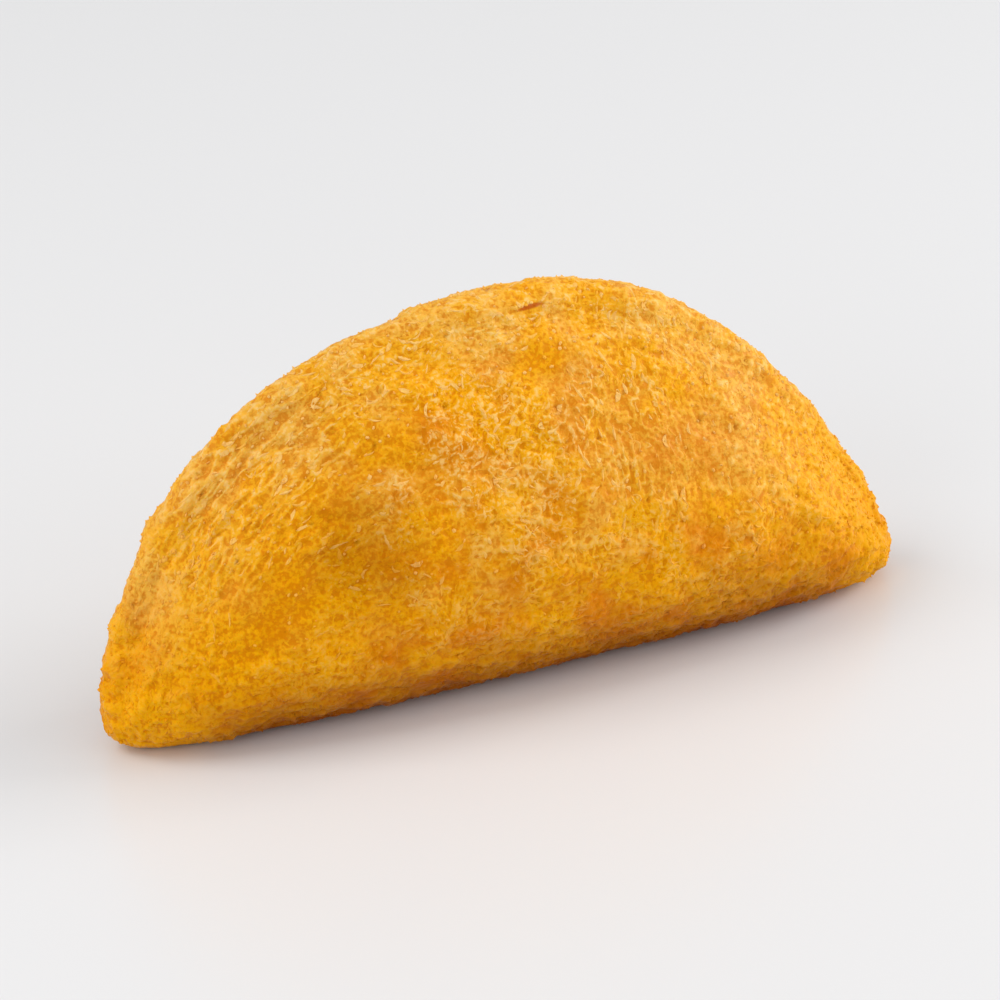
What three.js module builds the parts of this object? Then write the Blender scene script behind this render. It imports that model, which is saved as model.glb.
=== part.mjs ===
// A fried corn empanada: one half-moon turnover that stands on its folded edge.
// Millimetres. +X runs along the fold, +Z is up, and -Y is the face that looks out.
// The origin is under the middle of the turnover, on the surface that it stands on.
import * as THREE from "three";
import { mergeVertices } from "three/addons/utils/BufferGeometryUtils.js";
import { ImprovedNoise } from "three/addons/math/ImprovedNoise.js";

// Driving dimensions of the half-moon
const LENGTH = 118;
const HEIGHT = 54;
const FRONT_BELLY = 16.5; // half thickness towards -Y, where the filling pushes out most
const BACK_BELLY = 15.5;
const BELLY_HEIGHT = 19; // how high the thickest place lies above the fold
const FOOT_CUT = 1.3; // how much of the round fold is pressed flat where it stands
const FOLD_LIFT = { rise: 0.5, exponent: 2.2 }; // the two tips end a little above the middle of the fold
const LEAN = THREE.MathUtils.degToRad(4); // the pressed edge leans back, away from -Y

// The curved edge, where the two layers of dough are pressed together
const EDGE_THICKNESS = 5.6;
const EDGE_BAND = 2.6; // width of the pressed band outside the belly
const EDGE_WAVE = { sway: 0.9, long: 17, short: 7.5, shortShare: 0.5, start: 0.8 }; // sideways wander
const TIP_ROUND = 3.3; // height of the roundest point of a tip above the fold
const ARC = { along: 2.47, upLeft: 1.76, upRight: 1.18 }; // exponents: 2 and 2 is an ellipse
const TIP = { along: 12, down: 2 }; // exponents of the outline below the roundest point of a tip

// How the belly swells: exponents along the fold, and from its thickest line up and down
const BELLY = { along: 2.47, alongSwell: 0.52, upSwell: 0.82, downSwell: 0.6 };
const BLEND = 2.4; // exponent that melts the belly into the edge band

// The crust's relief: sizes across, and depths or heights out of the smooth form
const BUMPS = [
  { size: 17, depth: 1.5, seed: 3.1, broad: true },
  { size: 8.5, depth: 0.8, seed: 11.7, broad: true },
  { size: 4.2, depth: 0.45, seed: 27.4, broad: false },
  { size: 2.3, depth: 0.3, seed: 41.9, broad: false },
];
const BLISTERS = { count: 150, radius: [1.8, 3.6], rise: [0.25, 0.7], lowShare: 0.35, seed: 7 };
// Soft pleats between two depths inside the curved edge
const PLEATS = { spacing: 4.4, depth: 0.28, from: 4, to: 17 };
const PLEAT_WANDER = { turn: 2.4, size: 14, seed: 60 };
const PLEAT_PATCHES = { mean: 0.5, size: 20, seed: 0 };
// Creases on the front, each from one place to another in X and Z
const CREASES = [
  { from: [-39, 17], to: [-23, 35], width: 1.9, depth: 0.6 },
  { from: [16, 9], to: [41, 12], width: 1.6, depth: 0.4 },
  { from: [33, 19], to: [46, 12], width: 1.6, depth: 0.4 },
];
// A flake that has lifted just under the curved edge
const FLAKE = { x: 6.5, z: 49, length: 9, arch: 1.6, width: 1.1, rise: 0.9 };
const FOOT_FADE = [0.3, 5]; // the relief dies out between these heights above the foot
const FOOT_SNAP = 0.02; // what ends lower than this lies flat on the surface

// The mesh
const SUBDIVISIONS = 21; // of each edge of an icosahedron: 20 (n + 1)^2 triangles
const EVENING_PASSES = 60;
const CORE_HEIGHT = 20; // rays from here meet every part of the crust once
const REACH = 90;
const RAY_HALVINGS = 20;
const MERGE_GAP = 1e-5;
const TINY = 1e-6;

const noise = new ImprovedNoise();
const { clamp, smoothstep, lerp } = THREE.MathUtils;

// A repeatable stream of numbers between 0 and 1, by the mulberry32 rule
function seededDraw(seed) {
  let state = seed >>> 0;
  return () => {
    state = (state + 0x6d2b79f5) >>> 0;
    let mixed = Math.imul(state ^ (state >>> 15), state | 1);
    mixed ^= mixed + Math.imul(mixed ^ (mixed >>> 7), mixed | 61);
    return ((mixed ^ (mixed >>> 14)) >>> 0) / 4294967296;
  };
}

// Height above the fold line, stretched so that the top edge stays at HEIGHT
function heightAboveFold(x, z) {
  const lift = FOLD_LIFT.rise * Math.abs((2 * x) / LENGTH) ** FOLD_LIFT.exponent;
  return ((z - lift) / (HEIGHT - lift)) * HEIGHT;
}

function arcPower(x) {
  return x < 0 ? ARC.upLeft : ARC.upRight;
}

// Signed distance inside the half-moon outline, seen from -Y: positive inside, roughly in millimetres
function depthInsideOutline(x, up) {
  const half = LENGTH / 2;
  const out = Math.abs(x) / half;
  const above = up > TIP_ROUND;
  const along = above ? ARC.along : TIP.along;
  const power = above ? arcPower(x) : TIP.down;
  const reach = above ? HEIGHT - TIP_ROUND : TIP_ROUND + FOOT_CUT;
  const rise = Math.abs(up - TIP_ROUND) / reach;
  const value = out ** along + rise ** power;
  const slopeX = (along * out ** (along - 1)) / half;
  const slopeZ = (power * Math.max(rise, TINY) ** (power - 1)) / reach;
  return (1 - value) / Math.max(Math.hypot(slopeX, slopeZ), 1 / reach);
}

// Height of the curved edge above the fold, or of a line that runs inside it by the inset
function arcHeight(x, inset) {
  const out = Math.min(Math.abs(x) / (LENGTH / 2 - inset), 1);
  return TIP_ROUND + (HEIGHT - inset - TIP_ROUND) * (1 - out ** ARC.along) ** (1 / arcPower(x));
}

// The sheet in the middle of the dough: it leans back, and its curved edge wanders from side to side
function middleOfDough(x, z) {
  const long = Math.sin(x / EDGE_WAVE.long + EDGE_WAVE.start);
  const short = EDGE_WAVE.shortShare * Math.sin(x / EDGE_WAVE.short);
  return z * Math.tan(LEAN) + EDGE_WAVE.sway * (long + short) * clamp(z / HEIGHT, 0, 1) ** 2;
}

// How far the belly swells to one side at a point of the outline, without the edge band
function bellySwell(x, up, belly) {
  const out = Math.min(Math.abs(x) / ((LENGTH - EDGE_BAND) / 2), 1);
  const full = belly * (1 - out ** BELLY.along) ** BELLY.alongSwell;
  const tallness = (arcHeight(x, 0) - TIP_ROUND) / (HEIGHT - TIP_ROUND);
  const thickest = lerp(TIP_ROUND, BELLY_HEIGHT, tallness);
  if (up > thickest) {
    const above = Math.min((up - thickest) / Math.max(arcHeight(x, EDGE_BAND) - thickest, TINY), 1);
    return full * (1 - above * above) ** BELLY.upSwell;
  }
  const below = Math.min((thickest - up) / (thickest + FOOT_CUT), 1);
  return full * (1 - below * below) ** BELLY.downSwell;
}

// Half the thickness of the turnover: an edge band with a round nose, and the belly melted into it
function halfThickness(x, z, belly) {
  const up = heightAboveFold(x, z);
  const depth = depthInsideOutline(x, up);
  if (depth <= 0) return depth;
  const nose = EDGE_THICKNESS / 2;
  const inNose = clamp(1 - depth / nose, 0, 1);
  const edge = nose * Math.sqrt(1 - inNose * inNose);
  return (edge ** BLEND + bellySwell(x, up, belly) ** BLEND) ** (1 / BLEND);
}

// Negative inside the smooth turnover, before its relief
function outside(point) {
  const side = point.y - middleOfDough(point.x, point.z);
  const belly = side < 0 ? FRONT_BELLY : BACK_BELLY;
  return Math.max(Math.abs(side) - halfThickness(point.x, point.z, belly), -point.z);
}

// The point where a ray from the core leaves the turnover
function onSurface(core, direction, target) {
  let inner = 0;
  let outer = REACH;
  for (let step = 0; step < RAY_HALVINGS; step++) {
    const middle = (inner + outer) / 2;
    target.copy(core).addScaledVector(direction, middle);
    if (outside(target) < 0) inner = middle;
    else outer = middle;
  }
  return target;
}

// A sphere of even triangles, as vertices and faces
function evenSphere() {
  const ball = new THREE.IcosahedronGeometry(1, SUBDIVISIONS);
  ball.deleteAttribute("normal");
  ball.deleteAttribute("uv");
  return mergeVertices(ball, MERGE_GAP);
}

// Slides the vertices over the surface until the triangles have about one size
function evenOut(points, faces, core) {
  const sums = points.map(() => new THREE.Vector3());
  const weights = new Float64Array(points.length);
  const centre = new THREE.Vector3();
  const triangle = new THREE.Triangle();
  for (let pass = 0; pass < EVENING_PASSES; pass++) {
    sums.forEach((sum) => sum.set(0, 0, 0));
    weights.fill(0);
    for (let i = 0; i < faces.length; i += 3) {
      const corners = [faces[i], faces[i + 1], faces[i + 2]];
      triangle.set(...corners.map((c) => points[c]));
      const area = triangle.getArea();
      triangle.getMidpoint(centre);
      for (const c of corners) {
        sums[c].addScaledVector(centre, area);
        weights[c] += area;
      }
    }
    points.forEach((point, i) => {
      const direction = sums[i].divideScalar(weights[i]).sub(core).normalize();
      onSurface(core, direction, point);
    });
  }
}

// Blisters lie at random on the crust, more of them near the curved edge
function scatterBlisters(points) {
  const draw = seededDraw(BLISTERS.seed);
  const blisters = [];
  while (blisters.length < BLISTERS.count) {
    const centre = points[Math.floor(draw() * points.length)];
    if (draw() > lerp(BLISTERS.lowShare, 1, smoothstep(centre.z, 0, HEIGHT))) continue;
    const size = draw();
    blisters.push({
      centre: centre.clone(),
      radius: lerp(...BLISTERS.radius, size),
      rise: lerp(...BLISTERS.rise, draw()),
    });
  }
  return blisters;
}

function blisterRise(point, blisters) {
  let rise = 0;
  for (const { centre, radius, rise: top } of blisters) {
    const away = point.distanceTo(centre) / radius;
    if (away < 1) rise = Math.max(rise, top * (1 - away * away) ** 2);
  }
  return rise;
}

function noiseAt(point, size, seed) {
  return noise.noise(point.x / size + seed, point.y / size + seed, point.z / size + seed);
}

// The broad bumps push the faces in and out, and leave the outline of the half-moon smooth
function bumpRise(point, normal) {
  let rise = 0;
  for (const { size, depth, seed, broad } of BUMPS) {
    const share = broad ? Math.abs(normal.y) : 1;
    rise += share * depth * noiseAt(point, size, seed);
  }
  return rise;
}

// Soft pleats in the dough that run along the curved edge and fade towards the belly
function pleatRise(point) {
  const depth = depthInsideOutline(point.x, heightAboveFold(point.x, point.z));
  const band = smoothstep(depth, 1, PLEATS.from) * (1 - smoothstep(depth, PLEATS.from, PLEATS.to));
  const patchy = PLEAT_PATCHES.mean + noiseAt(point, PLEAT_PATCHES.size, PLEAT_PATCHES.seed);
  const wander = PLEAT_WANDER.turn * noiseAt(point, PLEAT_WANDER.size, PLEAT_WANDER.seed);
  return PLEATS.depth * band * patchy * Math.cos((2 * Math.PI * depth) / PLEATS.spacing + wander);
}

// Creases are soft grooves that are deepest halfway along
function creaseRise(point) {
  const here = new THREE.Vector3(point.x, 0, point.z);
  const nearest = new THREE.Vector3();
  let rise = 0;
  for (const { from, to, width, depth } of CREASES) {
    const line = new THREE.Line3(new THREE.Vector3(from[0], 0, from[1]), new THREE.Vector3(to[0], 0, to[1]));
    const along = line.closestPointToPointParameter(here, true);
    const away = line.at(along, nearest).distanceTo(here) / width;
    rise -= depth * 4 * along * (1 - along) * Math.exp(-away * away);
  }
  return rise;
}

// A lifted flake just under the edge: a short arched cleft with a raised lip below it
function flakeRise(point) {
  const along = (point.x - FLAKE.x) / (FLAKE.length / 2);
  if (Math.abs(along) > 1) return 0;
  const arch = FLAKE.z - FLAKE.arch * along * along;
  const below = (arch - point.z) / FLAKE.width;
  return FLAKE.rise * (1 - along * along) * below * Math.exp((1 - below * below) / 2);
}

// All of the relief at a point of the crust: creases and flake are on the face that looks out
function crustRise(point, normal, blisters) {
  const onFront = point.y < middleOfDough(point.x, point.z);
  const marks = onFront ? creaseRise(point) + flakeRise(point) : 0;
  const rise = bumpRise(point, normal) + blisterRise(point, blisters) + pleatRise(point) + marks;
  return rise * smoothstep(point.z, ...FOOT_FADE);
}

// A closed mesh from points and the index of their triangles
function closedMesh(points, index) {
  const geometry = new THREE.BufferGeometry().setFromPoints(points);
  geometry.setIndex(index);
  geometry.computeVertexNormals();
  return geometry;
}

// The smooth turnover's points: a sphere's, cast onto it along rays and then spread evenly
function smoothPoints(sphere) {
  const start = sphere.getAttribute("position");
  const core = new THREE.Vector3(0, middleOfDough(0, CORE_HEIGHT), CORE_HEIGHT);
  const stretch = new THREE.Vector3(LENGTH / 2, FRONT_BELLY, HEIGHT / 2);
  const points = [];
  for (let i = 0; i < start.count; i++) {
    const direction = new THREE.Vector3().fromBufferAttribute(start, i).multiply(stretch).normalize();
    points.push(onSurface(core, direction, new THREE.Vector3()));
  }
  evenOut(points, sphere.index.array, core);
  return points;
}

// Raises the crust's relief along the smooth turnover's normals, and leaves the foot flat
function raiseRelief(points, index) {
  const normals = closedMesh(points, index).getAttribute("normal");
  const blisters = scatterBlisters(points);
  const normal = new THREE.Vector3();
  return points.map((point, i) => {
    normal.fromBufferAttribute(normals, i);
    const moved = point.clone().addScaledVector(normal, crustRise(point, normal, blisters));
    if (moved.z < FOOT_SNAP) moved.z = 0;
    return moved;
  });
}

function crustGeometry() {
  const sphere = evenSphere();
  const points = raiseRelief(smoothPoints(sphere), sphere.index);
  const box = new THREE.Box3().setFromPoints(points);
  const footMiddle = box.getCenter(new THREE.Vector3()).setZ(box.min.z);
  points.forEach((point) => point.sub(footMiddle));
  return closedMesh(points, sphere.index);
}

function makeEmpanada() {
  const friedCorn = new THREE.MeshStandardMaterial({ color: 0xe39a22, roughness: 0.48, metalness: 0 });
  const empanada = new THREE.Mesh(crustGeometry(), friedCorn);
  empanada.name = "empanada";
  return empanada;
}

const model = new THREE.Group();
model.add(makeEmpanada());

export default model;
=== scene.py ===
"""A fried corn empanada: the looks of its crust, on a plain pale floor.

The packed solid gives the form and the size. A finely remeshed copy of it gets the crust's lumps, ridges,
grit, blisters and pits. Thin wisps, curled flakes and grains of fried dough lie half sunk in it.
"""

import math

import bmesh
import bpy
from bpy.props import FloatProperty, FloatVectorProperty, IntProperty, PointerProperty, StringProperty
from mathutils import Matrix, Vector


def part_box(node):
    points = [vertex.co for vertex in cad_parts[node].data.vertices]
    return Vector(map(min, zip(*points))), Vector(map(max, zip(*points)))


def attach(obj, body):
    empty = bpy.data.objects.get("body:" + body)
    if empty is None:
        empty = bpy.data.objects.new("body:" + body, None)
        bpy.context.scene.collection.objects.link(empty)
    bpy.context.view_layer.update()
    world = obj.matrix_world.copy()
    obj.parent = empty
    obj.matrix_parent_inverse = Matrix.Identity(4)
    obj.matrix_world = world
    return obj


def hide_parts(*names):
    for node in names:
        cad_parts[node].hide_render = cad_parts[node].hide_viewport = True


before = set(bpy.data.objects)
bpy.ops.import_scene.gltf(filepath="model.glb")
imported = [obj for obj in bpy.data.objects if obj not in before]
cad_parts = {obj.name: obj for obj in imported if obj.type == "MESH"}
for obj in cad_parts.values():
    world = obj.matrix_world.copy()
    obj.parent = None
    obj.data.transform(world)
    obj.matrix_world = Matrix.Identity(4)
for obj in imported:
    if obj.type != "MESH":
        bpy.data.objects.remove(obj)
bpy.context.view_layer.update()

bl_info = {
    "name": "Fried corn empanada",
    "version": (1, 0, 0),
    "blender": (4, 5, 0),
    "location": "View3D > Sidebar > Empanada",
    "description": "Builds the fried crust, its wisps, flakes and grains, and a plain stage with a camera",
    "category": "Object",
}

NODE = "empanada"
BODY = "root"
MM = 0.001
LOW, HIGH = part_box(NODE)
LENGTH = HIGH.x - LOW.x
HEIGHT = HIGH.z
FRONT_DEPTH = -9 * MM

# Where the bellies end and the pressed edge begins, as shares of the height
EDGE_START = 0.70
EDGE_END = 0.95

# The height of streaks and wrinkles as a share of the ridges'
FOLD_SHARE = 1.4

# The crisps: how far they keep from the foot, how close two may lie as a share of their spacing, how deep
# each kind is sunk, and each kind's least and greatest scales along, across and up
FOOT_CLEARANCE = 1.4 * MM
CLOSEST_SHARE = 0.62
WISP_SINK = 0.03 * MM
FLAKE_SINK = 0.05 * MM
GRAIN_SINK = 0.12 * MM
WISP_SCALES = ((0.45, 0.45, 0.6), (1.4, 1.05, 1.1))
FLAKE_SCALES = ((0.45, 0.6, 0.6), (1.25, 1.3, 1.2))
GRAIN_SCALES = ((0.35, 0.35, 0.35), (1.0, 1.0, 1.0))

# Places on the front of the crust, as shares of half the length and of the height, each with a radius
FIBRES = {"along": 0.37, "up": 0.70, "radius": 23 * MM}
GRAINY_MIDDLE = {"along": 0.00, "up": 0.62, "radius": 18 * MM}
SMOOTH_PAD = {"along": -0.52, "up": 0.48, "radius": 17 * MM}
LOWER_PAD = {"along": -0.72, "up": 0.28, "radius": 13 * MM}
RIGHT_PAD = {"along": 0.82, "up": 0.42, "radius": 17 * MM}
BROWNED_MIDDLE = {"along": -0.40, "up": 0.50, "radius": 12 * MM}
UPPER_ORANGE = {"along": -0.14, "up": 0.78, "radius": 11 * MM}
FOLD_WRINKLES = {"along": 0.48, "up": 0.07, "radius": 17 * MM}
ARC_STREAKS = {"along": -0.66, "up": 0.72, "radius": 26 * MM}
PALE_SHOULDER = {"along": 0.68, "up": 0.60, "radius": 21 * MM}
# Under the lifted flake a thin reddish line of painted shadow is drawn
LIFTED_FLAKE = {"along": 0.10, "up": 0.95, "radius": 2.9 * MM, "squash": 6.0}
TOP_BLOB = {"along": 0.10, "up": 0.85, "radius": 4.5 * MM, "squash": 1.3}
LEFT_TIP = {"along": -0.97, "up": 0.10, "radius": 14 * MM}
RIGHT_TIP = {"along": 0.97, "up": 0.12, "radius": 14 * MM}
RING_BLISTER = {"along": -0.30, "up": 0.66, "radius": 1.1 * MM, "squash": 1.0}

# The frying oil on the dough, and the light that passes through the dough, red the furthest
OIL_IOR = 1.45
OIL_TINT = "#ffcc70"
GLOW_REACH = (1.0, 0.42, 0.12)
GLOW_DEPTH = 0.9 * MM

# The stage: the floor's half width, the height aimed at as a share, and each soft light's place and width
FLOOR_HALF = 3.0
AIM_SHARE = 0.44
SOFTBOXES = {
    "right": ((0.85, -0.10, 0.40), 0.5),
    "left": ((-0.80, -0.45, 0.45), 0.6),
    "top": ((-0.60, 0.15, 0.72), 0.5),
    "front": ((0.55, -0.48, 0.30), 0.4),
}


def linear(hex_colour):
    """An sRGB hex colour as linear red, green, blue and alpha."""
    channels = [int(hex_colour[i:i + 2], 16) / 255 for i in (1, 3, 5)]
    turned = [c / 12.92 if c <= 0.04045 else ((c + 0.055) / 1.055) ** 2.4 for c in channels]
    return (*turned, 1.0)


def add(tree, kind, inputs=None, output=0, **settings):
    """Adds a node with its settings, values and links, and gives back one of its outputs."""
    node = tree.nodes.new(kind)
    for name, value in settings.items():
        setattr(node, name, value)
    for socket, value in (inputs or {}).items():
        if isinstance(value, bpy.types.NodeSocket):
            tree.links.new(value, node.inputs[socket])
        else:
            node.inputs[socket].default_value = value
    return node.outputs[output] if len(node.outputs) else node


class CrustSettings(bpy.types.PropertyGroup):
    """Sizes of the crust's fine relief"""

    voxel: FloatProperty(
        name="Mesh size", description="Edge of the fine mesh's faces",
        default=0.44 * MM, subtype="DISTANCE")
    lump_size: FloatProperty(
        name="Lump size", description="Width of the soft lumps",
        default=3.4 * MM, subtype="DISTANCE")
    lump_height: FloatProperty(
        name="Lump height", description="Height of the soft lumps",
        default=0.44 * MM, subtype="DISTANCE")
    grit_size: FloatProperty(
        name="Grit size", description="Width of a grain of corn grit",
        default=1.25 * MM, subtype="DISTANCE")
    grit_height: FloatProperty(
        name="Grit height", description="How far a grain stands out",
        default=0.26 * MM, subtype="DISTANCE")
    ridge_height: FloatProperty(
        name="Ridge height", description="How far a ridge stands out",
        default=0.26 * MM, subtype="DISTANCE")
    blister_size: FloatProperty(
        name="Blister spacing", description="Distance between blisters",
        default=6 * MM, subtype="DISTANCE")
    blister_height: FloatProperty(
        name="Blister height", description="Height of the tallest blisters",
        default=0.45 * MM, subtype="DISTANCE")
    pit_size: FloatProperty(
        name="Pit spacing", description="Distance between burst pits",
        default=2.6 * MM, subtype="DISTANCE")
    pit_depth: FloatProperty(
        name="Pit depth", description="Depth of the burst pits",
        default=0.4 * MM, subtype="DISTANCE")


class ScatterSettings(bpy.types.PropertyGroup):
    """Sizes and spacings of the wisps, flakes and grains"""

    wisp_length: FloatProperty(
        name="Wisp length", description="Length of a middling wisp",
        default=2.0 * MM, subtype="DISTANCE")
    wisp_spacing: FloatProperty(
        name="Wisp spacing", description="Least distance between wisps",
        default=1.35 * MM, subtype="DISTANCE")
    flake_length: FloatProperty(
        name="Flake length", description="Length of a middling flake",
        default=1.6 * MM, subtype="DISTANCE")
    flake_spacing: FloatProperty(
        name="Flake spacing", description="Least distance between flakes",
        default=3.0 * MM, subtype="DISTANCE")
    grain_size: FloatProperty(
        name="Grain size", description="Width of the widest grain",
        default=0.85 * MM, subtype="DISTANCE")
    grain_spacing: FloatProperty(
        name="Grain spacing", description="Least distance between grains",
        default=1.1 * MM, subtype="DISTANCE")
    seed: IntProperty(name="Seed", description="Seed of the scatter", default=11, min=0)


class ColourSettings(bpy.types.PropertyGroup):
    """The fried dough's colours, among them painted shade, painted highlight and a painted shadow"""

    gold: StringProperty(
        name="Gold", description="sRGB hex of the common golden crust", default="#e49a0a")
    yellow: StringProperty(
        name="Yellow", description="sRGB hex of the smooth, oily pads", default="#f1aa00")
    orange: StringProperty(
        name="Orange", description="sRGB hex of the well fried patches", default="#dc8404")
    tan: StringProperty(
        name="Tan", description="sRGB hex of the dry, paler patches", default="#efb548")
    # Deep is partly painted shade in the gaps between the crust's ridges; on the crisps it is a darker tone
    # that differs at random.
    deep: StringProperty(
        name="Deep", description="sRGB hex of the gaps between ridges", default="#d07400")
    # Pale is partly a painted highlight on the crests of the ridges, wisps and grains, and partly paler dry
    # dough.
    pale: StringProperty(
        name="Pale", description="sRGB hex of the dry ridges and wisps", default="#f2c878")
    # Brown darkens the pits, pinholes and wrinkles; towards the fold it is partly painted shade on the
    # underside.
    brown: StringProperty(
        name="Brown", description="sRGB hex of pits and of the fold", default="#8a3c00")
    # A reddish line of painted shadow under the lifted flake.
    painted_flake_shadow: StringProperty(
        name="Russet", description="sRGB hex of the lifted flake's edge", default="#b8480c")


class StageSettings(bpy.types.PropertyGroup):
    """Camera, light and floor"""

    azimuth: FloatProperty(
        name="Azimuth", description="Camera's angle round the object",
        default=math.radians(-21.5), subtype="ANGLE")
    elevation: FloatProperty(
        name="Elevation", description="Camera's angle above the floor",
        default=math.radians(27.8), subtype="ANGLE")
    roll: FloatProperty(
        name="Roll", description="Camera's turn about its own axis",
        default=math.radians(-2.5), subtype="ANGLE")
    distance: FloatProperty(
        name="Distance", description="Camera to the middle of the object",
        default=0.7, subtype="DISTANCE")
    frame_share: FloatProperty(
        name="Share of the frame", description="How much of the picture's width the object fills",
        default=0.8)
    right_energy: FloatProperty(
        name="Right light", description="Power of the softbox at the right",
        default=5.0, unit="POWER")
    left_energy: FloatProperty(
        name="Left light", description="Power of the softbox at the left",
        default=2.3, unit="POWER")
    top_energy: FloatProperty(
        name="Top light", description="Power of the softbox at the upper left",
        default=3.0, unit="POWER")
    front_energy: FloatProperty(
        name="Front light", description="Power of the low softbox at the front right",
        default=0.95, unit="POWER")
    room_light: FloatProperty(
        name="Room light", description="Strength of the even light all round",
        default=0.6)
    floor_colour: FloatVectorProperty(
        name="Floor", description="Colour of the floor",
        default=linear("#dfdfe0")[:3], subtype="COLOR")


# Patterns, used by the Geometry Nodes trees and by the materials alike


def joined(tree, operation, *values):
    """Numbers joined one after another by a plain operation."""
    result = values[0]
    for value in values[1:]:
        result = add(tree, "ShaderNodeMath", {0: result, 1: value}, operation=operation)
    return result


def stepped(tree, value, start, end, low=0.0, high=1.0):
    """A soft step from low to high as the value goes from start to end."""
    return add(
        tree, "ShaderNodeMapRange",
        {"Value": value, "From Min": start, "From Max": end, "To Min": low, "To Max": high},
        interpolation_type="SMOOTHSTEP")


def near(tree, place, patch):
    """1 in the middle of a named patch on the front, falling to 0 at its radius."""
    middle = Vector((patch["along"] * LENGTH / 2, FRONT_DEPTH, patch["up"] * HEIGHT))
    away = add(tree, "ShaderNodeVectorMath", {0: place, 1: middle}, 1, operation="DISTANCE")
    return stepped(tree, away, patch["radius"], patch["radius"] * 0.35)


def away_on_front(tree, place, spot):
    """How far a place is from a named spot, seen from the front. A squashed spot is that much lower."""
    middle = Vector((spot["along"] * LENGTH / 2, 0.0, spot["up"] * HEIGHT))
    offset = add(tree, "ShaderNodeVectorMath", {0: place, 1: middle}, operation="SUBTRACT")
    flat = add(
        tree, "ShaderNodeVectorMath", {0: offset, 1: (1.0, 0.0, spot["squash"])}, operation="MULTIPLY")
    return add(tree, "ShaderNodeVectorMath", {0: flat}, 1, operation="LENGTH")


def on_front(tree, place, spot):
    """1 on a small named spot of the front, falling to 0 at its radius."""
    depth = add(tree, "ShaderNodeSeparateXYZ", {0: place}).node.outputs[1]
    inside = stepped(tree, away_on_front(tree, place, spot), spot["radius"], spot["radius"] * 0.4)
    return joined(tree, "MULTIPLY", inside, stepped(tree, depth, 4 * MM, 2 * MM))


def patchy(tree, place, size, low, high, shift):
    """Soft patches of the given width, between low and high. Another shift gives other patches."""
    moved = add(tree, "ShaderNodeVectorMath", {0: place, 1: (shift, 0.0, shift)}, operation="ADD")
    noise = add(tree, "ShaderNodeTexNoise", {"Vector": moved, "Scale": 1 / size, "Detail": 1.5})
    return stepped(tree, noise, 0.4, 0.62, low, high)


def pushed(tree, place, noise, amount):
    """The place, moved about by a noise's colour."""
    centred = add(tree, "ShaderNodeVectorMath", {0: noise, 1: (0.5, 0.5, 0.5)}, operation="SUBTRACT")
    push = add(tree, "ShaderNodeVectorMath", {0: centred, "Scale": amount}, operation="SCALE")
    return add(tree, "ShaderNodeVectorMath", {0: place, 1: push}, operation="ADD")


def warped(tree, place, size, amount):
    """The place, pushed about so that patterns on it wander."""
    noise = add(tree, "ShaderNodeTexNoise", {"Vector": place, "Scale": 1 / size, "Detail": 1.0}, 1)
    return pushed(tree, place, noise, amount)


def ridges(tree, place, stretch, size, width):
    """Thin ridge lines, from 0 to 1, drawn out along the axes with the larger stretch."""
    shrink = tuple(1 / (share * size) for share in stretch)
    drawn = add(tree, "ShaderNodeVectorMath", {0: place, 1: shrink}, operation="MULTIPLY")
    noise = add(
        tree, "ShaderNodeTexNoise", {"Vector": drawn, "Scale": 1.0, "Detail": 1.5, "Roughness": 0.5})
    folded = add(tree, "ShaderNodeMath", {0: joined(tree, "SUBTRACT", noise, 0.5)}, operation="ABSOLUTE")
    return stepped(tree, folded, width, 0.0)


def spots(tree, place, spacing, share, radius, shift):
    """Round spots on a share of a loose grid's cells: 1 in the middle, and the distance in spot radii."""
    moved = add(tree, "ShaderNodeVectorMath", {0: place, 1: (0.0, shift, shift)}, operation="ADD")
    scale = joined(tree, "DIVIDE", 1.0, spacing)
    cells = add(tree, "ShaderNodeTexVoronoi", {"Vector": moved, "Scale": scale}, feature="F1")
    draws = add(tree, "ShaderNodeSeparateXYZ", {0: cells.node.outputs["Color"]}).node.outputs
    chosen = joined(tree, "LESS_THAN", draws[0], share)
    reach = add(tree, "ShaderNodeMapRange", {"Value": draws[1], "To Min": radius * 0.5, "To Max": radius})
    away = joined(tree, "DIVIDE", cells, reach)
    return joined(tree, "MULTIPLY", stepped(tree, away, 1.0, 0.0), chosen), away


def edge_coordinates(tree, place):
    """A place as its distance from the middle of the fold, its depth and its way round, and that distance."""
    parts = add(tree, "ShaderNodeSeparateXYZ", {0: place}).node.outputs
    out = joined(tree, "MULTIPLY", parts[0], HEIGHT * 2 / LENGTH)
    flat = add(tree, "ShaderNodeCombineXYZ", {0: out, 1: 0.0, 2: parts[2]})
    reach = add(tree, "ShaderNodeVectorMath", {0: flat}, 1, operation="LENGTH")
    turn = joined(tree, "ARCTAN2", out, parts[2])
    way_round = joined(tree, "MULTIPLY", turn, LENGTH / 2)
    return add(tree, "ShaderNodeCombineXYZ", {0: reach, 1: parts[1], 2: way_round}), reach


def edge_share(tree, reach):
    """0 on the bellies, 1 near the pressed edge."""
    return stepped(tree, reach, HEIGHT * EDGE_START, HEIGHT * EDGE_END)


def ring_blister(tree, place):
    """A burst blister on the front that left a raised ring, from 0 to 1."""
    past_ring = joined(tree, "SUBTRACT", away_on_front(tree, place, RING_BLISTER), RING_BLISTER["radius"])
    off_ring = add(tree, "ShaderNodeMath", {0: past_ring}, operation="ABSOLUTE")
    depth = add(tree, "ShaderNodeSeparateXYZ", {0: place}).node.outputs[1]
    front = joined(tree, "LESS_THAN", depth, 0.0)
    return joined(tree, "MULTIPLY", stepped(tree, off_ring, 0.5 * MM, 0.0), front)


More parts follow.
